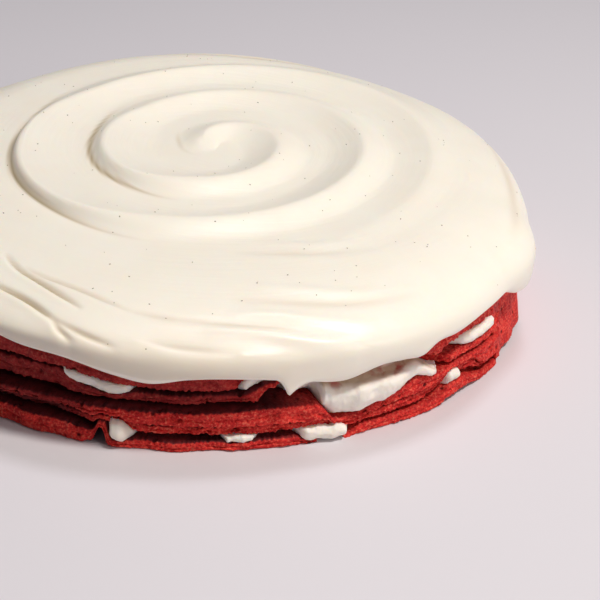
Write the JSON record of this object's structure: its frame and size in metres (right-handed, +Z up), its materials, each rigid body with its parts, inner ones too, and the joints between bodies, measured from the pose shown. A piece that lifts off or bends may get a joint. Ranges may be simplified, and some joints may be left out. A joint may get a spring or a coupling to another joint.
{
  "type": "crepe cake",
  "caption": "Round red crepe cake with cream between its crepes and a thick, swirled frosting that hangs over the edge.",
  "frame": {"origin": "centre of the cake's bounding box, on the flat underside of the lowest crepe", "axes": "+Z up out of the frosting, -Y towards the side seen in front, +X to the right"},
  "size_m": [0.198, 0.2134, 0.045],
  "materials": {
    "crepe": "matt, moist, crumbly red crepe with small pores",
    "filling": "soft cream, satin",
    "frosting": "smooth ivory cream cheese frosting, satin to glossy, with fine vanilla specks"
  },
  "bodies": {
    "root": {"crepe_1": "crepe", "cream_1": "filling", "crepe_2": "crepe", "crepe_3": "crepe", "cream_2": "filling", "crepe_4": "crepe", "cream_3": "filling", "crepe_5": "crepe", "frosting": "frosting"}
  },
  "joints": []
}
